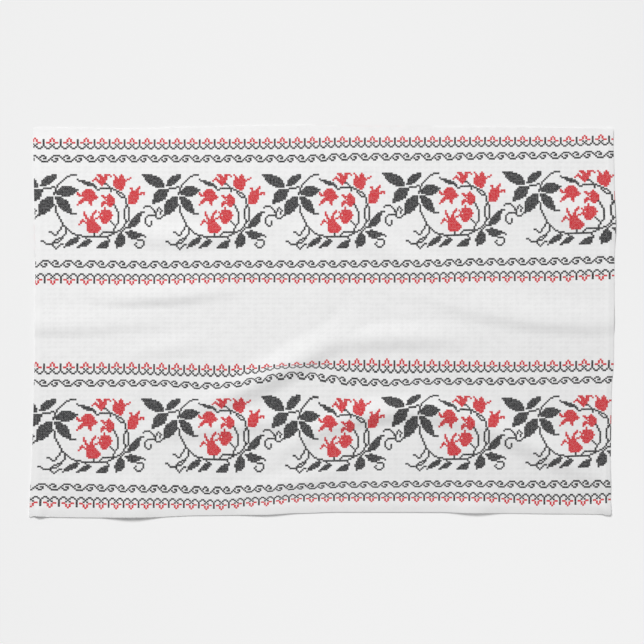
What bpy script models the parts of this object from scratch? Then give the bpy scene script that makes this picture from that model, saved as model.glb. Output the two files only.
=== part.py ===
"""Waffle-weave tea towel, laid out loosely on a flat surface.

The towel is one piece of cloth with a narrow turned hem on all four sides. It lies with its long side
along X and its printed face up. Its underside touches the surface at z = 0, and low rounded folds
lift it here and there. The origin is on the surface, under the middle of the towel.
"""

import bpy
import numpy as np

MM = 0.001

# The towel as it is sold, and how thick its cloth is.
LONG_SIDE = 609.6 * MM
SHORT_SIDE = 406.4 * MM
CLOTH_THICKNESS = 1.5 * MM
HEM_THICKNESS = 2.5 * MM

# The hems: their widths, and how far the cloth takes to come down from them.
HEM_AT_ENDS = 6.0 * MM
HEM_ALONG_SIDES = 8.5 * MM
HEM_STEP = 1.5 * MM

# How many cells the grid has between the hems, along X and along Y.
CELLS_LONG = 46
CELLS_SHORT = 60

# How far in from an edge its unevenness is felt.
EDGE_REACH = 60 * MM

# How far each edge lies outside the true rectangle: (place along the edge, outwards), in mm.
EDGES = {
    "top": [(-305, 1.2), (-185, 1.2), (-80, 3.8), (-20, 4.3), (55, 2.8), (190, 2.6), (305, 0.6)],
    "bottom": [(-305, 2.4), (-240, 4.3), (-185, 3.6), (-60, 1.4), (10, -1.6), (120, -1.2), (285, 0.2), (305, 3.0)],
    "left": [(-203, 4.8), (-175, 1.6), (-110, -0.4), (-60, -1.4), (-30, -2.6), (203, -2.6)],
    "right": [(-203, 0.2), (-160, -1.0), (-75, 0.0), (-40, 2.4), (60, 3.0), (107, 4.8), (150, 2.8), (203, 1.2)],
}

# The folds, each a rounded ridge in the cloth, in mm. The crest runs from start to end, and its middle
# bows to the left of that way. Above and below are the half-widths on the two sides of the crest.
FOLD_COLUMNS = ("name", "start", "end", "bow", "height", "above", "below")
FOLDS = [
    ("left upper", (-282, 25), (-76, 44), -6, 2.8, 20, 16),
    ("left lower", (-403, -1), (-145, 7), -6, 1.8, 18, 17),
    ("left short", (-226, -39), (-106, -21), 2, 1.1, 18, 17),
    ("main slant", (-171, -104), (54, 12), -12, 5.0, 28, 23),
    ("main level", (-57, -32), (193, -18), 8, 4.6, 26, 22),
    ("lower left", (-213, -122), (29, -99), 1, 2.4, 22, 17),
    ("lower arch", (-68, -153), (209, -126), 44, 4.2, 22, 19),
    ("lower slope", (82, -83), (346, -201), 13, 4.0, 24, 22),
    ("upper left arc", (-295, 124), (-23, 108), -28, 2.0, 22, 18),
    ("upper left end", (-298, 149), (-203, 75), -5, 0.8, 22, 19),
    ("centre arch", (-55, 82), (98, 60), 20, 1.4, 24, 22),
    ("centre slope", (24, 92), (177, 11), 7, 1.4, 24, 20),
    ("right level", (82, 38), (377, 8), -22, 2.7, 24, 18),
    ("right top", (151, 151), (377, 77), -3, 2.0, 26, 21),
    ("foot slant", (-129, -192), (40, -149), -4, 2.0, 20, 18),
    ("foot left", (-308, -166), (-192, -174), -3, 0.9, 22, 18),
    ("centre upright", (0, -39), (0, 85), 2, 0.8, 34, 24),
    ("top upright", (-154, 122), (-154, 233), 2, 0.6, 22, 18),
    ("low upright", (-230, -152), (-236, -68), 2, 0.7, 22, 16),
    ("left diagonal", (-222, -104), (-165, -45), 0, 0.6, 18, 16),
    ("edge lift left", (-202, -157), (-202, -263), 0, 3.6, 42, 42),
    ("edge lift right", (158, -166), (158, -252), 0, 2.8, 36, 36),
    ("edge lift middle", (-57, -178), (-57, -236), 0, 1.6, 46, 46),
]

# The cloth's colour where nothing is printed.
CLOTH_COLOUR = (0.80, 0.80, 0.80, 1.0)
CLOTH_ROUGHNESS = 0.9


def clear_scene():
    """Remove every object, so that the towel stands alone."""
    for thing in list(bpy.data.objects):
        bpy.data.objects.remove(thing, do_unlink=True)


def eased(rows, places):
    """Read a table of (place, value) rows at the places, easing from each row to the next."""
    at, values = np.array(rows, dtype=float).T
    row = np.clip(np.searchsorted(at, places) - 1, 0, len(at) - 2)
    step = np.clip((places - at[row]) / (at[row + 1] - at[row]), 0, 1)
    ease = step * step * (3 - 2 * step)
    return values[row] + ease * (values[row + 1] - values[row])


def edge_pull(name, along, depth):
    """How far the named edge moves the cloth outwards, at a place along it and a depth in from it."""
    outwards = eased(EDGES[name], along / MM) * MM
    felt = np.clip(1 - depth / EDGE_REACH, 0, 1)
    return outwards * felt * felt


def laid_out(across, up):
    """Where points of the true rectangle lie once the uneven edges have moved the cloth."""
    half_long = LONG_SIDE / 2
    half_short = SHORT_SIDE / 2
    x = across + edge_pull("right", up, half_long - across) - edge_pull("left", up, half_long + across)
    y = up + edge_pull("top", across, half_short - up) - edge_pull("bottom", across, half_short + up)
    return x, y


def one_fold(x, y, fold):
    """Height of one fold at the points (x, y)."""
    row = dict(zip(FOLD_COLUMNS, fold))
    start_x, start_y = np.array(row["start"]) * MM
    run_x, run_y = (np.array(row["end"]) - row["start"]) * MM
    length = np.hypot(run_x, run_y)
    along = ((x - start_x) * run_x + (y - start_y) * run_y) / length**2
    aside = ((y - start_y) * run_x - (x - start_x) * run_y) / length
    aside = aside - row["bow"] * MM * 4 * along * (1 - along)
    across = aside / (np.where(aside > 0, row["above"], row["below"]) * MM)
    fade = np.clip(1 - (2 * along - 1) ** 2, 0, 1) ** 1.5
    return row["height"] * MM * fade * np.clip(1 - across**2, 0, 1) ** 3


def fold_height(x, y):
    """Height of the cloth's underside above the surface. Folds that meet blend into one."""
    return np.sqrt(sum(one_fold(x, y, fold) ** 2 for fold in FOLDS))


def stations(side, hem, cells):
    """Grid lines across a side: the edge, the hem's inner line, the foot of its step, and even cells."""
    foot = side / 2 - hem - HEM_STEP
    inner = np.linspace(-foot, foot, cells + 1)
    rim = [side / 2 - hem, side / 2]
    return np.concatenate([-np.array(rim[::-1]), inner, rim])


def hem_points(columns, rows):
    """Numbers of the grid points that lie on the hems: the two outermost lines on every side."""
    return [r * columns + c for r in range(rows) for c in range(columns)
            if min(r, rows - 1 - r) < 2 or min(c, columns - 1 - c) < 2]


def grid_faces(columns, rows):
    """Four-sided faces of a grid of points, listed row by row."""
    faces = []
    for r in range(rows - 1):
        for c in range(columns - 1):
            first = r * columns + c
            faces.append((first, first + 1, first + columns + 1, first + columns))
    return faces


def cloth_material():
    """Matt white microfibre."""
    material = bpy.data.materials.new("cloth")
    material.use_nodes = True
    shader = material.node_tree.nodes["Principled BSDF"]
    shader.inputs["Base Color"].default_value = CLOTH_COLOUR
    shader.inputs["Roughness"].default_value = CLOTH_ROUGHNESS
    shader.inputs["Metallic"].default_value = 0.0
    material.diffuse_color = CLOTH_COLOUR
    return material


def build_towel():
    """The towel: its underside as a grid over the folds, thickened upwards, more so along the hems."""
    lines_x = stations(LONG_SIDE, HEM_AT_ENDS, CELLS_LONG)
    lines_y = stations(SHORT_SIDE, HEM_ALONG_SIDES, CELLS_SHORT)
    across, up = np.meshgrid(lines_x, lines_y)
    x, y = laid_out(across, up)
    z = fold_height(x, y)
    points = np.stack([x, y, z], axis=-1).reshape(-1, 3)
    rows, columns = x.shape

    mesh = bpy.data.meshes.new("towel_cloth")
    mesh.from_pydata(points.tolist(), [], grid_faces(columns, rows))
    mesh.materials.append(cloth_material())
    mesh.shade_smooth()
    towel = bpy.data.objects.new("towel_cloth", mesh)
    bpy.context.scene.collection.objects.link(towel)

    hem = towel.vertex_groups.new(name="hem")
    hem.add(hem_points(columns, rows), 1.0, "REPLACE")
    thicken = towel.modifiers.new("thickness", "SOLIDIFY")
    thicken.thickness = HEM_THICKNESS
    thicken.offset = 1.0
    thicken.use_quality_normals = True
    thicken.vertex_group = hem.name
    thicken.thickness_vertex_group = CLOTH_THICKNESS / HEM_THICKNESS
    return towel


clear_scene()
build_towel()
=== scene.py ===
"""The looks of the tea towel: waffle-weave microfibre, printed with folk cross-stitch bands.

The cloth is one closed mesh on a grid in the cloth's own coordinates, across (along X) and up (along Y).
It lies in much the same folds as its solid, a little thinner, with the waffle weave raised in it. The
print is charted in stitches, and the cloth's material looks up the stitch under each point.
"""

import math

import bpy
import numpy as np
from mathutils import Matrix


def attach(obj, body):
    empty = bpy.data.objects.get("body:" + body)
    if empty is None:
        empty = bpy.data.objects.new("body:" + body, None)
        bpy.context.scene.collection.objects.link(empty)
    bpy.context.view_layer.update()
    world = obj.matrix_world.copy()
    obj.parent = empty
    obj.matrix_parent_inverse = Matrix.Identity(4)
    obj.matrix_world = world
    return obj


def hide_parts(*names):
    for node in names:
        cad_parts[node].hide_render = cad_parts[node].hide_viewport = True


MM = 0.001

# The cloth: its sides and how wide its hems are, as in its solid.
LONG_SIDE = 609.6 * MM
SHORT_SIDE = 406.4 * MM
HEM_AT_ENDS = 6.0 * MM
HEM_ALONG_SIDES = 8.5 * MM

# How far in from an edge its unevenness is felt, and how round the corners are.
EDGE_REACH = 60 * MM
CORNER_ROUNDING = 2.0 * MM

# How far each edge lies outside the true rectangle: (place along the edge, outwards), in mm.
EDGES = {
    "top": [(-305, 1.0), (-255, 0.6), (-207, -0.2), (-130, 1.6), (-80, 3.0), (-20, 3.6), (55, 1.8),
            (190, 1.6), (305, 0.2)],
    "bottom": [(-305, 3.9), (-300, 2.3), (-288, 2.9), (-277, 3.5), (-245, 3.9), (-185, 3.6), (-129, 1.6),
               (-66, 0.9), (-24, -0.8), (15, -2.0), (124, -1.8), (156, -1.0), (187, -0.8), (250, -0.2),
               (296, 0.2), (299, 1.3), (305, 1.3)],
    "left": [(-203, 4.6), (-188, 3.7), (-136, 1.1), (-83, -0.2), (-30, -1.6), (75, -2.0), (149, -0.5),
             (203, 0.4)],
    "right": [(-203, -0.6), (-188, -0.9), (-160, -1.0), (-75, 0.0), (-40, 2.4), (60, 3.0), (107, 4.6),
              (150, 2.8), (196, 1.9), (203, 1.9)],
}

# The folds, each a rounded ridge in the cloth, in mm. The crest runs from start to end, and its middle
# bows to the left of that way. Above and below are the half-widths on the two sides of the crest.
FOLD_COLUMNS = ("name", "start", "end", "bow", "height", "above", "below")
FOLDS = [
    ("left upper", (-256, 25), (-76, 37), -5, 2.9, 26, 15),
    ("left lower", (-403, -3), (-135, 4), -6, 1.8, 28, 15),
    ("left short", (-226, -39), (-106, -21), 2, 1.1, 18, 17),
    ("main slant", (-171, -104), (54, 12), -12, 5.0, 28, 23),
    ("main level", (-38, -30), (176, -21), 8, 3.2, 22, 20),
    ("lower left", (-213, -122), (29, -99), 1, 2.4, 22, 17),
    ("lower arch", (-68, -153), (209, -126), 44, 4.2, 22, 19),
    ("lower slope", (82, -83), (346, -201), 13, 4.0, 24, 22),
    ("upper left arc", (-295, 124), (-23, 108), -28, 2.0, 22, 18),
    ("upper left end", (-298, 149), (-203, 75), -5, 0.8, 22, 19),
    ("centre arch", (-55, 82), (98, 60), 20, 1.4, 24, 22),
    ("centre slope", (24, 92), (177, 11), 7, 1.4, 24, 20),
    ("right level", (82, 38), (377, 7), -22, 2.8, 34, 18),
    ("right top", (151, 151), (377, 77), -3, 2.0, 26, 21),
    ("foot slant", (-129, -192), (40, -149), -4, 2.0, 20, 18),
    ("foot left", (-308, -166), (-192, -174), -3, 0.9, 22, 18),
    ("centre upright", (0, -39), (0, 85), 2, 0.8, 34, 24),
    ("top upright", (-154, 122), (-154, 233), 2, 0.6, 22, 18),
    ("low upright", (-230, -152), (-236, -68), 2, 0.7, 22, 16),
    ("left diagonal", (-222, -104), (-165, -45), 0, 0.6, 18, 16),
    ("edge lift left", (-202, -157), (-202, -263), 0, 4.2, 42, 42),
    ("edge lift right", (160, -166), (160, -252), 0, 3.4, 36, 36),
    ("edge lift middle", (-57, -178), (-57, -236), 0, 2.0, 46, 46),
    ("corner lift left", (-299, -180), (-299, -236), 0, 3.0, 12, 9),
    ("corner lift right", (286, -189), (330, -217), 0, 2.6, 16, 12),
    ("corner lift top", (307, 186), (307, 222), 0, 1.6, 12, 12),
]

# The powers that shape how a fold dies away at its ends, and how its sides curve down.
FOLD_END_POWER = 1.5
FOLD_SIDE_POWER = 3

# Slack in the cloth between the folds: long low waves, as (length in mm, direction in degrees, height from
# trough to crest in mm).
SLACK_WAVES = ((97, 24, 0.10), (71, 102, 0.09), (53, 151, 0.07), (41, 68, 0.05))

# The weave: a waffle of pits between raised ribs. It has cells of this size, each with this many grid faces
# to a side, and swings this far up to its ribs and down into its pits.
WAFFLE_LONG = 6.4 * MM
WAFFLE_SHORT = 5.1 * MM
WAFFLE_FACES = 3
WAFFLE_SWING = 0.20 * MM

# The weave is uneven. Two sums of waves, as (length in mm, direction in degrees, height), carry its ribs
# aside, this far for a sum of 1, and their product changes its swing, by this share for a product of 1.
WEAVE_WAVES = ((37, 15, 0.5), (29, 118, 0.5), (19, 64, 0.35), (23, 157, 0.35))
WEAVE_DRIFT = 0.5 * MM
WEAVE_CHANGE = 0.5

# The thickness of the cloth and of its hems, and how far the cloth takes to come down from them.
CLOTH_THICKNESS = 1.1 * MM
HEM_THICKNESS = 1.6 * MM
HEM_SLOPE_AT_ENDS = 4.5 * MM
HEM_SLOPE_ALONG_SIDES = 8.0 * MM

# Three hems are pressed flat towards the edge, and keep this share of their thickness there. The top hem is
# pressed flat over its whole width, and keeps this share.
KEPT_AT_EDGE = {"bottom": 0.65, "left": 0.8, "right": 0.35}
KEPT_ON_TOP_HEM = 0.45

# The stitching that holds a hem down, along its middle: the depth and the half-width of its groove.
SEAM_AT_ENDS = 0.20 * MM
SEAM_ALONG_SIDES = 0.05 * MM
SEAM_WIDTH = 0.7 * MM

# The edge of the cloth is widest at this share of its thickness. It is rounded above, and slants in below.
WIDEST_LEVEL = 0.85
RIM_ROUNDING = 0.12 * MM
RIM_UNDERCUT = 2.2 * MM

# Grid lines in from an edge, as shares of the rounding, and the number of faces from there to the hem's end.
RIM_STATIONS = (0.0, 0.3, 1.0, 2.5)
HEM_FACES = 6

# Every how many grid lines the underside keeps between the hems.
UNDERSIDE_STEP = 3

# The empty margin around the two parts of the export's picture, as a share of its width.
MAP_MARGIN = 0.004

# The print, charted in stitches. A stitch is a sixteenth of an inch.
BARE = 0
CHARCOAL = 1
RED = 2
MARKS = {".": BARE, "K": CHARCOAL, "R": RED}

# The rows of one printed band, from its top: a tulip border, a scroll border, the vine, and both borders
# again, upside down. The second band lies below the first.
BAND_ROWS = 99
SECOND_BAND_ROW = 148
SCROLL_ROW = 12

# The vine: the column and row of its hub, from which its leaves spread, and its columns to a repeat.
VINE_HUB = (11, 37)
VINE_REPEAT = 80

# The borders' charts. The print's column 0 runs through the middle of a tulip, this column of its chart.
TULIP_CENTRE = 5
TULIP_BORDER = (
    ".....R....",
    "K...R.R...",
    "K...R.R...",
    "K.RR...RR.",
    "K...K.K...",
    "K....K....",
    ".K..K.K..K",
    "..KK...KK.",
)
SCROLL_BORDER = (
    "..KK.....KKKK.",
    ".K..K...K....K",
    "K..KK..K..KK..",
    ".K....K.K..K..",
    "..KKKK...KK...",
)

# The vine's leaves, in stitches right of and below the hub: each a pointed oval from its base to its tip,
# widest at a share of its length, its middle bowed to the right of that way.
LEAF_COLUMNS = ("base", "tip", "half_width", "widest", "bow")
LEAVES = (
    ((1, 0), (14, -2), 3.7, 0.42, 0.1),
    ((0, 2), (-9, 15), 3.9, 0.52, 0.5),
    ((1, 2), (10, 14), 3.2, 0.48, -0.3),
    ((-9, -4), (-24, -12), 3.4, 0.42, 0.2),
    ((-8, -5), (2, -12), 2.7, 0.42, -0.3),
    ((-7, -2), (-17, 7), 3.9, 0.42, 0.7),
    ((25, -4), (15, -8), 1.4, 0.45, 0.3),
    ((15, 30), (6, 36), 1.9, 0.40, 0.3),
    ((22, 32), (14, 36), 1.7, 0.35, 0.2),
    ((34, 32), (26, 36), 2.3, 0.36, -0.6),
    ((42, 26), (40, 36), 3.4, 0.62, -0.5),
    ((45, 26), (56, 28), 2.6, 0.38, 0.8),
    ((47, 23), (55, 13), 2.8, 0.40, 0.6),
)

# How many stitches around its base and tip a leaf stays within, how far it runs past them as a share of its
# length, and the power that rounds its outline out.
LEAF_REACH = 5
LEAF_OVERRUN = 0.03
LEAF_POWER = 0.8

# Bare lines that part the leaves where they meet.
PARTINGS = (
    ((-8, -3), (-13, -3)),
    ((-9, -8), (-9, -4)),
    ((0, 2), (0, 8)),
    ((1, 2), (4, 2), (7, 4)),
)

# Stems and tendrils, one stitch wide. The long one is the ring.
STEMS = (
    ((-7, -2), (-5, -3), (-2, -3), (0, -4), (1, -3), (1, -1), (0, 1)),
    ((1, -2), (2, -5), (4, -7), (6, -10), (9, -11), (11, -12), (13, -12)),
    ((0, 8), (1, 10), (1, 13), (3, 17), (5, 21), (8, 24), (12, 27), (16, 28), (20, 29), (32, 29), (39, 26),
     (43, 24), (44, 21), (47, 17), (47, 10), (45, 6), (44, 2), (41, 0), (35, -3), (31, -6)),
    ((46, 8), (44, 12), (44, 16), (45, 19)),
    ((25, -3), (27, -2), (29, -3), (36, -3)),
    ((35, -2), (35, -1)),
    ((40, -1), (39, 0), (40, 2), (43, 3)),
    ((37, 8), (38, 10), (40, 14), (40, 20), (38, 23), (37, 25)),
    ((35, 19), (37, 20), (38, 22)),
    ((28, 28), (31, 26), (38, 26)),
    ((25, 26), (24, 28)),
    ((13, 28), (14, 30)),
    ((19, 30), (21, 31)),
    ((32, 29), (34, 31)),
    ((43, 25), (45, 23), (48, 23)),
    ((5, 21), (4, 24), (2, 27), (0, 28), (-3, 26)),
    ((7, 23), (7, 27), (5, 30), (3, 32), (0, 33)),
    ((4, 30), (1, 31), (-1, 33), (-1, 35), (1, 37), (5, 34)),
    ((-2, 34), (-5, 34), (-8, 32)),
    ((57, 10), (59, 9), (61, 9), (63, 11), (64, 14), (65, 15), (60, 15), (58, 19), (60, 22), (62, 21),
     (62, 19)),
    ((65, 15), (65, 13), (67, 10), (69, 12), (68, 14)),
    ((65, 16), (66, 18), (68, 17), (71, 14)),
    ((53, 31), (56, 31), (57, 33), (56, 35), (53, 36), (51, 34), (50, 33), (52, 33)),
    ((39, 36), (40, 35)),
    ((14, -9), (16, -8)),
    ((10, 14), (13, 14)),
    ((55, 27), (57, 28), (58, 29)),
    ((55, 13), (57, 13)),
)

# How many points a curve gets between two of the given ones, so that it misses no stitch.
CURVE_POINTS = 40

# The vine's blossoms: the place of each chart's top left stitch from the hub, and the chart.
BLOSSOMS = (
    ((23, -12), (
        "...RRR..RRRR.",
        "....RRR.RR..R",
        "..R..RRRRR...",
        ".RRR.RRRRR...",
        "R..RRRRRR....",
        "....RRRRR....",
        ".....RRR.....",
        "......R......",
    )),
    ((37, -12), (
        "R....R......",
        ".R..RRR.....",
        ".RR.RRR....R",
        ".RRRRRRR.RR.",
        "RRRRRRRRR...",
        "RRRRRRRR....",
        "RRRRRRRR....",
        "RRRRRRRR....",
        ".RRRRRR.....",
        "..RRRRR.....",
        "....RR......",
    )),
    ((47, -4), (
        ".......R...",
        ".RR...RR...",
        "..R..RR....",
        "..RRRRR....",
        ".RRRRRR.RRR",
        ".RRRRRRRR.R",
        "RRRRRRR....",
        "RRRRRRR....",
        "RRRRRRR....",
        "RRRRRR.....",
        "RRRRRR.....",
        "RRRRR......",
    )),
    ((14, -2), (
        ".....RRRR....",
        "....RRRRRR...",
        "R..RRRRRRRR..",
        "RR.RRRRRRRR..",
        ".RRRRRRRRRRR.",
        "....RRRRRRRRR",
        "...RRRRRRRRR.",
        "..RRRRRRRR...",
        ".RRR...RR....",
        ".RR....RR....",
        "R.......R....",
    )),
    ((29, 1), (
        ".....R...",
        "RR..RRR..",
        ".RRRRRRR.",
        "..R.RRRRR",
        "...RRRRRR",
        ".RR.RRRRR",
        "RRRRRRRRR",
        "RR..RRRR.",
        "R....RR..",
    )),
    ((25, 10), (
        "......R.....",
        "......R.....",
        "....RRRRRR..",
        "..R.RRRRRRR.",
        "...RRRRRRRR.",
        "...R.RRRRRRR",
        "..RRRRRRRRR.",
        "RR.RRRRRRRR.",
        "....RRRRRR..",
        "....RRRRR...",
        ".....RRR....",
    )),
    ((15, 12), (
        "..........R...",
        "...R.....RR...",
        "...R....RR....",
        "...RR...R.....",
        "....R..RR.....",
        "....RR.RR.....",
        "..R..RRRRR....",
        ".RRR.RRRRR....",
        ".R..RRRRRRR...",
        "R....RRRRRRR..",
        ".....RRRRRRRR.",
        ".....RRRRRRRRR",
        ".....RRRRRRRRR",
        ".....RRRRRRRR.",
        "......RRRRRR..",
    )),
)

# Where the print lies on the cloth. Columns of stitches: (across in mm, column). The cloth is pulled
# longer at its two ends, so the stitches are wider there.
PRINT_COLUMNS = [(-305, -240.5), (-242.3, -205.5), (232.7, 94.5), (305, 138.5)]

# How far the print leans: its columns shift this much to the right for each unit up.
PRINT_LEAN = 0.0023

# Rows of stitches, as they run over the crooked cloth: for some rows, (x, y) in mm along the row.
PRINT_ROWS = {
    0: [(-290, 193.5), (-150, 193), (-90, 193.5), (28, 195), (150, 195.5), (210, 195.5), (257, 195.2),
        (290, 197)],
    14.5: [(-20, 171.5), (25, 173.5), (115, 173.5), (180, 174.5), (245, 175), (290, 176)],
    49.5: [(0, 116.5), (100, 117.5), (180, 119), (290, 120.5)],
    84.5: [(-290, 60.5), (-190, 59.5), (0, 60), (90, 60.5), (180, 62.5), (245, 63), (290, 64.5)],
    99: [(-290, 38.5), (-190, 38), (-92, 40), (0, 39.5), (90, 39.5), (180, 41), (245, 41), (290, 43)],
    148: [(-220, -43), (-105, -45), (-58, -45), (-27, -43), (5, -40.5), (50, -39), (130, -40.5),
          (185, -41.5), (245, -41), (295, -39.5)],
    156: [(-220, -56), (-138, -58), (-98, -59), (-74, -55.5), (-43, -50), (-20, -49), (5, -50.5), (22, -53),
          (80, -55), (130, -54), (245, -53.5), (295, -52.5)],
    162.5: [(-220, -65), (-177, -64.5), (-122, -68.5), (-98, -67), (-66, -61), (-45, -57), (-32, -55.5),
            (-13, -57), (13, -60.5), (29, -63.5), (71, -65), (115, -63.5), (220, -63), (293, -61.5)],
    181: [(-200, -94.5), (-106, -92), (-49, -93), (20, -96.5), (103, -87.5), (141, -90), (190, -94),
          (255, -90.5)],
    194: [(-200, -115.5), (-106, -111.5), (-49, -114), (8, -116.5), (65, -113.5), (103, -110.5),
          (141, -113), (190, -113), (290, -109.5)],
    207: [(-239, -137), (-163, -133.5), (-125, -132.5), (-49, -133.5), (8, -135), (103, -134), (190, -133),
          (290, -130)],
    217: [(-239, -152.5), (-163, -149), (-87, -150.5), (-20, -151.5), (103, -149.5), (179, -149),
          (290, -145.5)],
    232.5: [(-290, -174.5), (-177, -177), (-110, -179), (-66, -177), (-22, -174.5), (22, -172.5),
            (133, -171.5), (220, -172), (290, -171.5)],
    247: [(-298, -196), (-279, -197), (-241, -198), (-154, -198), (-110, -199), (-66, -195), (-22, -191),
          (28, -190.5), (110, -190.5), (155, -190.5), (249, -195), (266, -195), (283, -194), (299, -193)],
}

# The print as an array reaches past the cloth on all sides.
FIRST_COLUMN = -260
LAST_COLUMN = 160
FIRST_ROW = -30
LAST_ROW = 280

# The ink spreads past its stitch, and its outline wanders in and out, both as shares of a stitch.
INK_SPREAD = 0.14
INK_WANDER = 0.05
WANDER_SIZE = 0.8 * MM

# A face of the cloth keeps the marks of a window of stitches around it, as one number to the base of
# MARK_KINDS. Marks are whole numbers, so they are told apart with half a mark to spare.
WINDOW_ROWS = 4
WINDOW_COLUMNS = 3
MARK_KINDS = 3
HALF_MARK = 0.5

# How pale the ink is, as a share of the way to white, where less than 0 counts as 0: in patches, more at a
# stitch's corners than in its middle, and more on the raised floats of the weave.
FADE_SIZE = 1.8 * MM
FADE_RANGE = (0.12, -0.065)
CORNER_FADE = 0.10
FLOAT_FADE = 0.05

# The weave's floats: the width of a raised and a low one side by side, and how far they waver.
FLOAT_PAIR_LONG = 2.2 * MM
FLOAT_PAIR_SHORT = 2.3 * MM
FLOAT_WAVER = 0.3 * MM
WAVER_SIZE = 7 * MM

# The relief of the yarns, as a bump: the size of the fuzz and its detail, how high the floats stand for each
# height of the fuzz, and the height and strength of the whole.
FUZZ_SIZE = 0.5 * MM
FUZZ_DETAIL = 4.0
FLOAT_RELIEF = 0.6
YARN_HEIGHT = 0.12 * MM
YARN_STRENGTH = 0.5

# How bright the cloth is, as shares of its colour, where more than 1 counts as 1: from and to, in wide
# patches and in a fine grain.
PATCH_SIZE = 9 * MM
PATCH_RANGE = (0.975, 1.02)
GRAIN_SIZE = 1.8 * MM
GRAIN_RANGE = (0.98, 1.016)

# Painted shade: the share by which the cloth's colour is darkened in the pits of the weave, for each swing
# that they lie below its ribs.
PAINTED_PIT_SHADE = 0.025

# How matt the cloth is, from place to place, and its gloss and sheen.
ROUGHNESS_SIZE = 3 * MM
ROUGHNESS_RANGE = (0.84, 0.96)
CLOTH_SPECULAR = 0.15
SHEEN_WEIGHT = 0.08
SHEEN_ROUGHNESS = 0.6

# Noise keeps near one half: what lies outside this range is cut off. It has this detail where none is given.
NOISE_RANGE = (0.3, 0.7)
NOISE_DETAIL = 2.0

# Colours, as linear light.
BLACK = (0.0, 0.0, 0.0)
WHITE_CLOTH = (0.904, 0.904, 0.904)
CHARCOAL_INK = (0.029, 0.029, 0.031)
RED_INK = (0.65, 0.026, 0.036)
FLOOR_COLOUR = (0.95, 0.95, 0.95)

# The floor. To look the same all around the towel it evens out the lamp's light, by this share to the metre
# and by no more than this limit.
FLOOR_WIDTH = 12.0
FLOOR_GAP = 0.2 * MM
FLOOR_RISE = 0.31
FLOOR_LIMIT = 0.2

# The camera looks straight down, and its picture is as wide as the photograph at the towel.
CAMERA_HEIGHT = 3.0
CAMERA_OFFSET = (-0.5 * MM, -0.8 * MM)
PICTURE_WIDTH = 679.2 * MM

# The light: one large soft lamp beyond the top edge, a little to the left, and an even sky.
LAMP_DISTANCE = 3.2
LAMP_SIZE = 1.35
LAMP_POWER = 78.0
LAMP_AZIMUTH = 112.0
LAMP_ELEVATION = 55.0
SKY_STRENGTH = 0.315


def eased(rows, places):
    """Read a table of (place, value) rows at the places, easing from each row to the next."""
    at, values = np.array(rows, dtype=float).T
    row = np.clip(np.searchsorted(at, places) - 1, 0, len(at) - 2)
    step = np.clip((places - at[row]) / (at[row + 1] - at[row]), 0, 1)
    return values[row] + smooth(step) * (values[row + 1] - values[row])


def smooth(step):
    """A rise from 0 to 1 with level ends."""
    step = np.clip(step, 0, 1)
    return step * step * (3 - 2 * step)


def edge_pull(name, along, depth):
    """How far the named edge moves the cloth outwards, at a place along it and a depth in from it."""
    outwards = eased(EDGES[name], along / MM) * MM
    felt = np.clip(1 - depth / EDGE_REACH, 0, 1)
    return outwards * felt * felt


def rounded_corners(across, up):
    """Points of the true rectangle, drawn in near its corners so that they are round."""
    from_end, from_side = from_edges(across, up)
    past_end = np.clip(1 - from_end / CORNER_ROUNDING, 0, 1)
    past_side = np.clip(1 - from_side / CORNER_ROUNDING, 0, 1)
    drawn_in = CORNER_ROUNDING * past_end * (1 - np.sqrt(1 - past_side**2 / 2))
    drawn_down = CORNER_ROUNDING * past_side * (1 - np.sqrt(1 - past_end**2 / 2))
    return across - np.sign(across) * drawn_in, up - np.sign(up) * drawn_down


def laid_out(across, up):
    """Where points of the true rectangle lie once the uneven edges have moved the cloth."""
    across, up = rounded_corners(across, up)
    half_long = LONG_SIDE / 2
    half_short = SHORT_SIDE / 2
    x = across + edge_pull("right", up, half_long - across) - edge_pull("left", up, half_long + across)
    y = up + edge_pull("top", across, half_short - up) - edge_pull("bottom", across, half_short + up)
    return x, y


def one_fold(x, y, fold):
    """Height of one fold at the points (x, y)."""
    row = dict(zip(FOLD_COLUMNS, fold))
    start_x, start_y = np.array(row["start"]) * MM
    run_x, run_y = (np.array(row["end"]) - row["start"]) * MM
    length = np.hypot(run_x, run_y)
    along = ((x - start_x) * run_x + (y - start_y) * run_y) / length**2
    aside = ((y - start_y) * run_x - (x - start_x) * run_y) / length
    aside = aside - row["bow"] * MM * 4 * along * (1 - along)
    across = aside / (np.where(aside > 0, row["above"], row["below"]) * MM)
    fade = np.clip(1 - (2 * along - 1) ** 2, 0, 1) ** FOLD_END_POWER
    return row["height"] * MM * fade * np.clip(1 - across**2, 0, 1) ** FOLD_SIDE_POWER


def fold_height(x, y):
    """Height of the cloth's underside above the surface. Folds that meet blend into one."""
    return np.sqrt(sum(one_fold(x, y, fold) ** 2 for fold in FOLDS))


def waves(x, y, rows):
    """The sum of some waves, each from minus its height to its height. The direction is the phase too."""
    total = np.zeros_like(x)
    for length, direction, height in rows:
        turn = math.radians(direction)
        way = x * math.cos(turn) + y * math.sin(turn)
        total += height * np.sin(2 * math.pi * way / (length * MM) + direction)
    return total


def slack(x, y):
    """The low waves of the cloth between its folds, never below the surface."""
    lowest = -sum(height for _, _, height in SLACK_WAVES)
    return (waves(x, y, SLACK_WAVES) - lowest) / 2 * MM


def cells_across(side, hem, cell):
    """How many waffle cells fit between the two hems of a side."""
    return round((side - 2 * hem) / cell)


def stations(side, hem, cell):
    """Grid lines across a side: the rounded rim, the hem, and those of the waffle cells."""
    foot = side / 2 - hem
    inner = np.linspace(-foot, foot, cells_across(side, hem, cell) * WAFFLE_FACES + 1)
    rim = side / 2 - RIM_ROUNDING * np.array(RIM_STATIONS)
    flat = np.linspace(rim[-1], foot, HEM_FACES + 1)[1:-1]
    outer = np.concatenate([rim, flat])
    return np.concatenate([-outer, inner, outer[::-1]])


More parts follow.
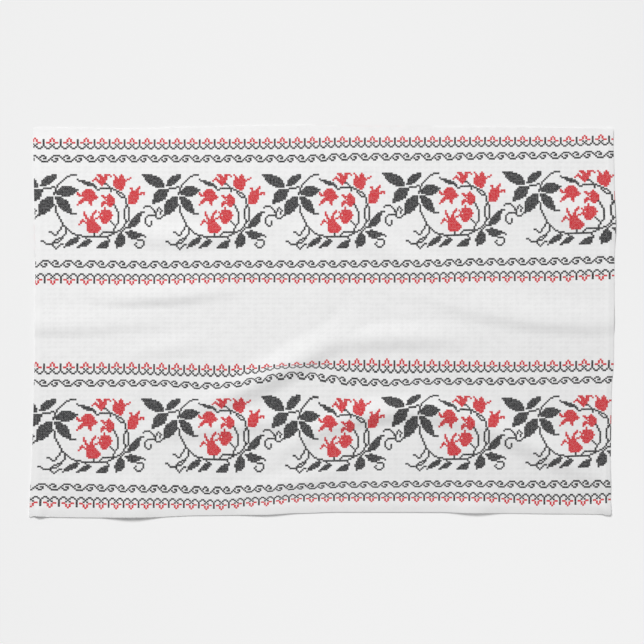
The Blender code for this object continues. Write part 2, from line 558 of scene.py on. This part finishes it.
def from_edges(across, up):
    """How far points lie in from the nearer end, and from the nearer long side."""
    return LONG_SIDE / 2 - np.abs(across), SHORT_SIDE / 2 - np.abs(up)


def hem_fullness(across, up):
    """1 on the hems, dying away inwards of them."""
    from_end, from_side = from_edges(across, up)
    past_end = (from_end - HEM_AT_ENDS) / HEM_SLOPE_AT_ENDS
    past_side = (from_side - HEM_ALONG_SIDES) / HEM_SLOPE_ALONG_SIDES
    return 1 - smooth(np.minimum(past_end, past_side))


def kept_thickness(across, up):
    """The share of the thickness that is kept where the hems are pressed flat."""
    depths = {
        "bottom": (SHORT_SIDE / 2 + up) / HEM_ALONG_SIDES,
        "left": (LONG_SIDE / 2 + across) / HEM_AT_ENDS,
        "right": (LONG_SIDE / 2 - across) / HEM_AT_ENDS,
    }
    past_top_hem = (SHORT_SIDE / 2 - up - HEM_ALONG_SIDES) / HEM_SLOPE_ALONG_SIDES
    kept = 1 - (1 - KEPT_ON_TOP_HEM) * (1 - smooth(past_top_hem))
    for name, depth in depths.items():
        kept *= 1 - (1 - KEPT_AT_EDGE[name]) * np.clip(1 - depth, 0, 1) ** 2
    return kept


def seam_groove(across, up):
    """Depth of the groove that the stitching draws along the middle of the hems."""
    from_end, from_side = from_edges(across, up)
    at_end = np.exp(-(((from_end - HEM_AT_ENDS / 2) / SEAM_WIDTH) ** 2))
    along_side = np.exp(-(((from_side - HEM_ALONG_SIDES / 2) / SEAM_WIDTH) ** 2))
    return np.maximum(SEAM_AT_ENDS * at_end, SEAM_ALONG_SIDES * along_side)


def off_rim(across, up, width):
    """0 at the very edge of the cloth, rising evenly to 1 at a width in from it."""
    return np.clip(np.minimum(*from_edges(across, up)) / width, 0, 1)


def ribs(places, side, hem, cell):
    """Ribs of the weave across a side, a whole number of cells between its hems: 1 on a rib, -1 in a pit."""
    foot = side / 2 - hem
    cells = cells_across(side, hem, cell)
    return np.cos(math.pi * cells * (places + foot) / foot)


def waffle(across, up):
    """Height of the weave: 0 on the ribs, which run along the cells' edges, and less in each cell's pit."""
    aside = waves(across, up, WEAVE_WAVES)
    along = waves(up, across, WEAVE_WAVES)
    ribs_up = ribs(across + WEAVE_DRIFT * aside, LONG_SIDE, HEM_AT_ENDS, WAFFLE_LONG)
    ribs_across = ribs(up + WEAVE_DRIFT * along, SHORT_SIDE, HEM_ALONG_SIDES, WAFFLE_SHORT)
    swing = WAFFLE_SWING * (1 + WEAVE_CHANGE * aside * along)
    return swing * (np.maximum(ribs_up, ribs_across) - 1)


def cloth_surfaces(across, up):
    """The cloth's printed side and its underside, as (x, y, z) grids."""
    x, y = laid_out(across, up)
    hem = hem_fullness(across, up)
    thickness = (CLOTH_THICKNESS + (HEM_THICKNESS - CLOTH_THICKNESS) * hem) * kept_thickness(across, up)
    lift = fold_height(x, y) + slack(x, y)
    rounding = np.sqrt(1 - (1 - off_rim(across, up, RIM_ROUNDING)) ** 2)
    relief = waffle(across, up) * (1 - hem) - seam_groove(across, up)
    printed = lift + thickness * (WIDEST_LEVEL + (1 - WIDEST_LEVEL) * rounding) + relief
    underside = lift + thickness * WIDEST_LEVEL * (1 - off_rim(across, up, RIM_UNDERCUT))
    return np.stack([x, y, printed], axis=-1), np.stack([x, y, underside], axis=-1)


def kept_lines(count, rim):
    """Which of the grid lines the underside keeps: all on the hems, and some in between."""
    between = range(rim, count - rim, UNDERSIDE_STEP)
    return list(range(rim)) + list(between) + list(range(count - rim, count))


def printed_side_faces(rows, columns):
    """Four-sided faces of the full grid."""
    first = (np.arange(rows - 1)[:, None] * columns + np.arange(columns - 1)).ravel()
    return np.stack([first, first + 1, first + columns + 1, first + columns], axis=-1).tolist()


def underside_faces(rows, columns, kept_rows, kept_columns):
    """Faces of the coarse underside, facing down, and the grid places of its own points.

    The outermost points belong to the printed side, so a face that meets the edge takes in all of them.
    """
    own = {}

    def number(r, c):
        if r in (0, rows - 1) or c in (0, columns - 1):
            return r * columns + c
        return own.setdefault((r, c), rows * columns + len(own))

    def run(start, end, on_rim):
        step = 1 if end > start else -1
        return range(start, end, step) if on_rim else [start]

    faces = []
    for r0, r1 in zip(kept_rows, kept_rows[1:]):
        for c0, c1 in zip(kept_columns, kept_columns[1:]):
            loop = [number(r, c0) for r in run(r0, r1, c0 == 0)]
            loop += [number(r1, c) for c in run(c0, c1, r1 == rows - 1)]
            loop += [number(r, c1) for r in run(r1, r0, c1 == columns - 1)]
            loop += [number(r0, c) for c in run(c1, c0, r0 == 0)]
            faces.append(loop)
    return faces, list(own)


def chart(rows):
    """A chart's marks as an array."""
    return np.array([[MARKS[mark] for mark in row] for row in rows])


def smooth_curve(points):
    """Points close together along a smooth curve, a Catmull-Rom spline, through the given ones."""
    knots = np.array(points, dtype=float)
    knots = np.vstack([2 * knots[0] - knots[1], knots, 2 * knots[-1] - knots[-2]])
    t = np.linspace(0, 1, CURVE_POINTS)[:, None]
    spans = []
    for a, b, c, d in zip(knots, knots[1:], knots[2:], knots[3:]):
        bend = (2 * a - 5 * b + 4 * c - d) * t**2 + (3 * b - a - 3 * c + d) * t**3
        spans.append((2 * b + (c - a) * t + bend) / 2)
    return np.vstack(spans)


def stitched_line(points):
    """The stitches under a curve, each touching the next by a side or a corner."""
    line = []
    for u, v in np.rint(smooth_curve(points)).astype(int):
        if line and (u, v) == line[-1]:
            continue
        if len(line) > 1 and abs(u - line[-2][0]) < 2 and abs(v - line[-2][1]) < 2:
            line.pop()
        line.append((u, v))
    return line


def leaf_stitches(leaf):
    """The stitches inside a leaf."""
    row = dict(zip(LEAF_COLUMNS, leaf))
    base = np.array(row["base"])
    run = np.array(row["tip"]) - base
    length = np.hypot(*run)
    corner = np.minimum(base, row["tip"]) - LEAF_REACH
    v, u = np.indices(np.abs(run[::-1]) + 2 * LEAF_REACH + 1) + corner[::-1, None, None]
    along = ((u - base[0]) * run[0] + (v - base[1]) * run[1]) / length**2
    aside = ((v - base[1]) * run[0] - (u - base[0]) * run[1]) / length
    aside = aside - row["bow"] * 4 * along * (1 - along)
    swell = np.minimum(along / row["widest"], (1 - along) / (1 - row["widest"]))
    inside = np.abs(aside) <= row["half_width"] * np.sin(math.pi / 2 * np.clip(swell, 0, 1)) ** LEAF_POWER
    inside &= (along > -LEAF_OVERRUN) & (along < 1 + LEAF_OVERRUN)
    return list(zip(u[inside], v[inside]))


def vine_repeat():
    """One repeat of the vine, in a band's rows. What passes one end comes in again at the other."""
    rows = np.full((BAND_ROWS, VINE_REPEAT), BARE)

    def work(stitches, mark):
        for u, v in stitches:
            rows[VINE_HUB[1] + v, (VINE_HUB[0] + u) % VINE_REPEAT] = mark

    for leaf in LEAVES:
        work(leaf_stitches(leaf), CHARCOAL)
    for parting in PARTINGS:
        work(stitched_line(parting), BARE)
    for stem in STEMS:
        work(stitched_line(stem), CHARCOAL)
    for (left, top), rows_of_marks in BLOSSOMS:
        v, u = np.nonzero(chart(rows_of_marks))
        work(zip(u + left, v + top), RED)
    return rows


def band():
    """One printed band, over all columns of the print."""
    columns = np.arange(FIRST_COLUMN, LAST_COLUMN)
    rows = vine_repeat()[:, columns % VINE_REPEAT]
    tulips = chart(TULIP_BORDER)
    tulips = tulips[:, (columns + TULIP_CENTRE) % tulips.shape[1]]
    scrolls = chart(SCROLL_BORDER)
    scrolls = scrolls[:, columns % scrolls.shape[1]]
    rows[:len(tulips)] = tulips
    rows[SCROLL_ROW:SCROLL_ROW + len(scrolls)] = scrolls
    rows[BAND_ROWS - len(tulips):] = tulips[::-1]
    rows[BAND_ROWS - SCROLL_ROW - len(scrolls):BAND_ROWS - SCROLL_ROW] = scrolls[::-1]
    return rows


def whole_print():
    """Both bands, as an array of marks with bare cloth around them."""
    stitches = np.full((LAST_ROW - FIRST_ROW, LAST_COLUMN - FIRST_COLUMN), BARE)
    for top in (0, SECOND_BAND_ROW):
        stitches[top - FIRST_ROW:top - FIRST_ROW + BAND_ROWS] = band()
    return stitches


def stitch_places(across, up, x, y):
    """The print's column and row, as fractions, at points of the cloth."""
    at, columns = np.array(PRINT_COLUMNS).T
    column = np.interp((across - PRINT_LEAN * up) / MM, at, columns)
    lines = [eased(line, x / MM) for line in PRINT_ROWS.values()]
    numbers = list(PRINT_ROWS)
    row = np.zeros_like(y)
    for i in range(len(lines) - 1):
        share = (lines[i] - y / MM) / (lines[i] - lines[i + 1])
        below_line = (share >= 0) | (i == 0)
        row = np.where(below_line, numbers[i] + share * (numbers[i + 1] - numbers[i]), row)
    return column, row


def stitch_windows(places, faces):
    """For each face, its window's first column and row, and the marks in the window as one number."""
    corners = places[np.array(faces)]
    first = np.floor(corners.min(axis=1) - INK_SPREAD - INK_WANDER).astype(int)
    stitches = whole_print()
    code = np.zeros(len(faces))
    for r in range(WINDOW_ROWS):
        for c in range(WINDOW_COLUMNS):
            row = np.clip(first[:, 1] + r, FIRST_ROW, LAST_ROW - 1) - FIRST_ROW
            column = np.clip(first[:, 0] + c, FIRST_COLUMN, LAST_COLUMN - 1) - FIRST_COLUMN
            code += stitches[row, column] * float(MARK_KINDS) ** (r * WINDOW_COLUMNS + c)
    return first, code


def keep_numbers(mesh, name, kind, domain, values):
    """Store values on the mesh, for its material to read."""
    layer = mesh.attributes.new(name, kind, domain)
    field = "value" if kind == "FLOAT" else "vector"
    layer.data.foreach_set(field, np.asarray(values, dtype=np.float32).ravel())


def picture_map(mesh, flat, printed_faces):
    """The map for the export's picture: the printed side on top, the underside squeezed in below it.

    The printed side's faces come first and have four corners each.
    """
    printed_height = SHORT_SIDE / LONG_SIDE
    corners = np.zeros(len(mesh.loops), dtype=int)
    mesh.loops.foreach_get("vertex_index", corners)
    place = flat[corners, :2] / (LONG_SIDE, SHORT_SIDE) + 0.5
    on_printed = np.arange(len(corners)) < printed_faces * 4
    low = np.where(on_printed, 1 - printed_height, MAP_MARGIN)
    high = np.where(on_printed, 1 - MAP_MARGIN, 1 - printed_height - 2 * MAP_MARGIN)
    layer = mesh.uv_layers.new(name="OFBake")
    u = MAP_MARGIN + place[:, 0] * (1 - 2 * MAP_MARGIN)
    v = low + place[:, 1] * (high - low)
    layer.uv.foreach_set("vector", np.stack([u, v], axis=-1).astype(np.float32).ravel())


def keep_weave(mesh, flat):
    """Store where each point lies on the flat cloth, and how far below the ribs of the weave."""
    keep_numbers(mesh, "cloth_place", "FLOAT_VECTOR", "POINT", flat)
    across, up = flat[:, 0], flat[:, 1]
    rib_height = waffle(across, up) * (1 - hem_fullness(across, up)) / WAFFLE_SWING
    keep_numbers(mesh, "rib_height", "FLOAT", "POINT", rib_height)


def keep_print(mesh, flat, points, printed_faces):
    """Store where each point lies on the print, and each face's window, which is bare on the underside."""
    column, row = stitch_places(flat[:, 0], flat[:, 1], points[:, 0], points[:, 1])
    places = np.stack([column, row], axis=-1)
    keep_numbers(mesh, "stitch_place", "FLOAT_VECTOR", "POINT", np.pad(places, ((0, 0), (0, 1))))
    first, code = stitch_windows(places, printed_faces)
    plain = len(mesh.polygons) - len(printed_faces)
    keep_numbers(mesh, "window_start", "FLOAT_VECTOR", "FACE", np.pad(first, ((0, plain), (0, 1))))
    keep_numbers(mesh, "window_marks", "FLOAT", "FACE", np.pad(code, (0, plain)))


def build_towel():
    """The cloth as one closed mesh."""
    lines_x = stations(LONG_SIDE, HEM_AT_ENDS, WAFFLE_LONG)
    lines_y = stations(SHORT_SIDE, HEM_ALONG_SIDES, WAFFLE_SHORT)
    across, up = np.meshgrid(lines_x, lines_y)
    rows, columns = across.shape
    printed, underside = cloth_surfaces(across, up)

    rim = len(RIM_STATIONS) + HEM_FACES
    kept_rows = kept_lines(rows, rim)
    kept_columns = kept_lines(columns, rim)
    printed_faces = printed_side_faces(rows, columns)
    lower_faces, lower_places = underside_faces(rows, columns, kept_rows, kept_columns)
    r, c = np.array(lower_places).T
    points = np.concatenate([printed.reshape(-1, 3), underside[r, c]])
    flat = np.stack([across, up, np.zeros_like(up)], axis=-1)
    flat = np.concatenate([flat.reshape(-1, 3), flat[r, c]])

    mesh = bpy.data.meshes.new("towel")
    mesh.from_pydata(points.tolist(), [], printed_faces + lower_faces)
    mesh.shade_smooth()
    keep_weave(mesh, flat)
    keep_print(mesh, flat, points, printed_faces)
    picture_map(mesh, flat, len(printed_faces))

    towel = bpy.data.objects.new("towel", mesh)
    bpy.context.scene.collection.objects.link(towel)
    return towel


def feed(tree, socket, value):
    """Link a value's socket into another, or set a plain number or colour on it."""
    if isinstance(value, bpy.types.NodeSocket):
        tree.links.new(value, socket)
    elif isinstance(value, tuple):
        socket.default_value = (*value, 1)
    else:
        socket.default_value = value


def maths(tree, operation, *values):
    """One math node on the values."""
    node = tree.nodes.new("ShaderNodeMath")
    node.operation = operation
    for socket, value in zip(node.inputs, values):
        feed(tree, socket, value)
    return node.outputs["Value"]


def blended(tree, share, first, second):
    """A colour between two others, at a share from 0 to 1."""
    node = tree.nodes.new("ShaderNodeMix")
    node.data_type = "RGBA"
    feed(tree, node.inputs["Factor"], share)
    feed(tree, node.inputs["A"], first)
    feed(tree, node.inputs["B"], second)
    return node.outputs["Result"]


def stored(tree, name):
    """The attribute node for numbers kept on the mesh."""
    node = tree.nodes.new("ShaderNodeAttribute")
    node.attribute_name = name
    return node


def parts(tree, vector):
    """A vector's X and Y."""
    node = tree.nodes.new("ShaderNodeSeparateXYZ")
    tree.links.new(vector, node.inputs["Vector"])
    return node.outputs["X"], node.outputs["Y"]


def noise(tree, vector, size, detail=NOISE_DETAIL):
    """Noise with features of about the given size, in metres."""
    node = tree.nodes.new("ShaderNodeTexNoise")
    node.inputs["Scale"].default_value = 1 / size
    node.inputs["Detail"].default_value = detail
    tree.links.new(vector, node.inputs["Vector"])
    return node.outputs["Fac"]


def spread(tree, value, low, high):
    """Noise stretched to run from low to high."""
    node = tree.nodes.new("ShaderNodeMapRange")
    node.inputs["From Min"].default_value = NOISE_RANGE[0]
    node.inputs["From Max"].default_value = NOISE_RANGE[1]
    node.inputs["To Min"].default_value = low
    node.inputs["To Max"].default_value = high
    tree.links.new(value, node.inputs["Value"])
    return node.outputs["Result"]


def inked(tree, flat_place):
    """Where the cloth carries charcoal and where red, and how deep the stitch under the point is inked."""
    column, row = parts(tree, stored(tree, "stitch_place").outputs["Vector"])
    first_column, first_row = parts(tree, stored(tree, "window_start").outputs["Vector"])
    wander = spread(tree, noise(tree, flat_place, WANDER_SIZE), -INK_WANDER, INK_WANDER)
    column = maths(tree, "ADD", column, wander)
    row = maths(tree, "ADD", row, wander)
    charcoal = 0.0
    red = 0.0
    for r in nearby(tree, row, first_row):
        for c in nearby(tree, column, first_column):
            mark = mark_at(tree, maths(tree, "MULTIPLY_ADD", r, WINDOW_COLUMNS, c))
            charcoal = maths(tree, "MAXIMUM", charcoal, maths(tree, "COMPARE", mark, CHARCOAL, HALF_MARK))
            red = maths(tree, "MAXIMUM", red, maths(tree, "COMPARE", mark, RED, HALF_MARK))
    return charcoal, red, stitch_texture(tree, column, row)


def nearby(tree, place, first):
    """The first and the last row or column of the window whose ink may spread to the point."""
    found = []
    for reach in (-INK_SPREAD, INK_SPREAD):
        stitch = maths(tree, "FLOOR", maths(tree, "ADD", place, reach))
        found.append(maths(tree, "SUBTRACT", stitch, first))
    return found


def mark_at(tree, place):
    """The mark at a place in the face's window, from the one number that holds them all."""
    marks = maths(tree, "ADD", stored(tree, "window_marks").outputs["Fac"], HALF_MARK)
    above = maths(tree, "FLOOR", maths(tree, "DIVIDE", marks, maths(tree, "POWER", MARK_KINDS, place)))
    return maths(tree, "MODULO", above, MARK_KINDS)


def stitch_texture(tree, column, row):
    """1 in the middle of a stitch, falling away to 0 at its corners."""
    half = 0.5
    squares = []
    for place in (column, row):
        off = maths(tree, "SUBTRACT", maths(tree, "FRACT", place), half)
        squares.append(maths(tree, "MULTIPLY", off, off))
    at_corner = 2 * half**2
    return maths(tree, "MULTIPLY_ADD", maths(tree, "ADD", *squares), -1 / at_corner, 1.0)


def cloth_material():
    """White microfibre with the print on it, its yarns and its fuzz."""
    material = bpy.data.materials.new("printed_cloth")
    material.use_nodes = True
    tree = material.node_tree
    shader = tree.nodes["Principled BSDF"]
    flat_place = stored(tree, "cloth_place").outputs["Vector"]

    charcoal, red, depth = inked(tree, flat_place)
    weave = floats(tree, flat_place)
    white = white_cloth(tree, flat_place)
    faded = spread(tree, noise(tree, flat_place, FADE_SIZE), *FADE_RANGE)
    worn = maths(tree, "MULTIPLY_ADD", weave, FLOAT_FADE, faded)
    pale = maths(tree, "ADD", worn, maths(tree, "MULTIPLY_ADD", depth, -CORNER_FADE, CORNER_FADE))
    charcoal_ink = blended(tree, pale, CHARCOAL_INK, WHITE_CLOTH)
    red_ink = blended(tree, pale, RED_INK, WHITE_CLOTH)
    colour = blended(tree, red, white, red_ink)
    colour = blended(tree, charcoal, colour, charcoal_ink)
    tree.links.new(colour, shader.inputs["Base Color"])

    rough = spread(tree, noise(tree, flat_place, ROUGHNESS_SIZE), *ROUGHNESS_RANGE)
    tree.links.new(rough, shader.inputs["Roughness"])
    shader.inputs["Specular IOR Level"].default_value = CLOTH_SPECULAR
    shader.inputs["Sheen Weight"].default_value = SHEEN_WEIGHT
    shader.inputs["Sheen Roughness"].default_value = SHEEN_ROUGHNESS
    tree.links.new(yarn_bump(tree, weave, flat_place), shader.inputs["Normal"])
    return material


def white_cloth(tree, flat_place):
    """The colour of the bare cloth: patchy, grained, and with shade painted darker in the pits of the weave.
    """
    patchy = spread(tree, noise(tree, flat_place, PATCH_SIZE), *PATCH_RANGE)
    grain = spread(tree, noise(tree, flat_place, GRAIN_SIZE), *GRAIN_RANGE)
    # Painted shade: the cloth's colour is darkened in the pits of the weave, by how far they lie below its
    # ribs.
    painted_pit_shade = maths(tree, "MULTIPLY_ADD", stored(tree, "rib_height").outputs["Fac"], PAINTED_PIT_SHADE, 1.0)
    tone_and_painted_shade = maths(tree, "MULTIPLY", maths(tree, "MULTIPLY", patchy, grain), painted_pit_shade)
    return blended(tree, tone_and_painted_shade, BLACK, WHITE_CLOTH)


def floats(tree, flat_place):
    """The weave's floats, a fine chequer: 1 on the middle of a raised float, -1 on one that lies low."""
    waver = spread(tree, noise(tree, flat_place, WAVER_SIZE), -FLOAT_WAVER, FLOAT_WAVER)
    swings = []
    for way, pair in zip(parts(tree, flat_place), (FLOAT_PAIR_LONG, FLOAT_PAIR_SHORT)):
        place = maths(tree, "ADD", way, waver)
        swings.append(maths(tree, "SINE", maths(tree, "MULTIPLY", place, 2 * math.pi / pair)))
    return maths(tree, "MULTIPLY", *swings)


def yarn_bump(tree, weave, flat_place):
    """The fine relief of the yarns: the raised floats and the fuzz on them."""
    fuzz = noise(tree, flat_place, FUZZ_SIZE, FUZZ_DETAIL)
    height = maths(tree, "MULTIPLY_ADD", weave, FLOAT_RELIEF, fuzz)
    bump = tree.nodes.new("ShaderNodeBump")
    bump.inputs["Strength"].default_value = YARN_STRENGTH
    bump.inputs["Distance"].default_value = YARN_HEIGHT
    tree.links.new(height, bump.inputs["Height"])
    return bump.outputs["Normal"]


def floor_material():
    """Pale and even: darker towards the lamp, and away from it with a little light of its own."""
    material = bpy.data.materials.new("floor")
    material.use_nodes = True
    tree = material.node_tree
    shader = tree.nodes["Principled BSDF"]
    shader.inputs["Roughness"].default_value = 1.0
    shader.inputs["Specular IOR Level"].default_value = 0.0
    shader.inputs["Emission Color"].default_value = (*FLOOR_COLOUR, 1)

    azimuth = math.radians(LAMP_AZIMUTH)
    x, y = parts(tree, tree.nodes.new("ShaderNodeNewGeometry").outputs["Position"])
    away = maths(tree, "MULTIPLY", x, -FLOOR_RISE * math.cos(azimuth))
    away = maths(tree, "MULTIPLY_ADD", y, -FLOOR_RISE * math.sin(azimuth), away)
    away = maths(tree, "MAXIMUM", maths(tree, "MINIMUM", away, FLOOR_LIMIT), -FLOOR_LIMIT)
    tint = maths(tree, "ADD", maths(tree, "MINIMUM", away, 0.0), 1.0)
    tree.links.new(blended(tree, tint, BLACK, FLOOR_COLOUR), shader.inputs["Base Color"])
    tree.links.new(maths(tree, "MAXIMUM", away, 0.0), shader.inputs["Emission Strength"])
    return material


def build_floor():
    """A wide floor just under the towel."""
    half = FLOOR_WIDTH / 2
    below = -FLOOR_GAP
    corners = [(-half, -half, below), (half, -half, below), (half, half, below), (-half, half, below)]
    mesh = bpy.data.meshes.new("floor")
    mesh.from_pydata(corners, [], [(0, 1, 2, 3)])
    mesh.materials.append(floor_material())
    floor = bpy.data.objects.new("floor", mesh)
    bpy.context.scene.collection.objects.link(floor)
    return floor


def place_camera():
    """The camera, straight above the towel."""
    data = bpy.data.cameras.new("camera")
    data.sensor_fit = "HORIZONTAL"
    data.angle = 2 * math.atan(PICTURE_WIDTH / 2 / CAMERA_HEIGHT)
    camera = bpy.data.objects.new("camera", data)
    camera.location = (*CAMERA_OFFSET, CAMERA_HEIGHT)
    bpy.context.scene.collection.objects.link(camera)
    bpy.context.scene.camera = camera


def place_light():
    """The lamp and the sky."""
    data = bpy.data.lights.new("lamp", "AREA")
    data.shape = "DISK"
    data.size = LAMP_SIZE
    data.energy = LAMP_POWER
    lamp = bpy.data.objects.new("lamp", data)
    azimuth = math.radians(LAMP_AZIMUTH)
    elevation = math.radians(LAMP_ELEVATION)
    out = LAMP_DISTANCE * math.cos(elevation)
    lamp.location = (out * math.cos(azimuth), out * math.sin(azimuth), LAMP_DISTANCE * math.sin(elevation))
    lamp.rotation_euler = (math.pi / 2 - elevation, 0, azimuth + math.pi / 2)
    bpy.context.scene.collection.objects.link(lamp)
    world = bpy.data.worlds.new("sky")
    world.use_nodes = True
    world.node_tree.nodes["Background"].inputs["Color"].default_value = (1, 1, 1, 1)
    world.node_tree.nodes["Background"].inputs["Strength"].default_value = SKY_STRENGTH
    bpy.context.scene.world = world
    bpy.context.scene.view_settings.view_transform = "Standard"


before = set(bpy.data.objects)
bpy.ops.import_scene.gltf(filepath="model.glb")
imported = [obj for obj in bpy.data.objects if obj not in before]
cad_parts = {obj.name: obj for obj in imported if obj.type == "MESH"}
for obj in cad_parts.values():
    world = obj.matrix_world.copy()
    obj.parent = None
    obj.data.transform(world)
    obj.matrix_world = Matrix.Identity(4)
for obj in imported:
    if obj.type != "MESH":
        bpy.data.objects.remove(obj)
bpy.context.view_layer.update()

place_camera()
place_light()
build_floor()

towel = build_towel()
towel.data.materials.append(cloth_material())
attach(towel, "root")
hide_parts("towel_cloth")
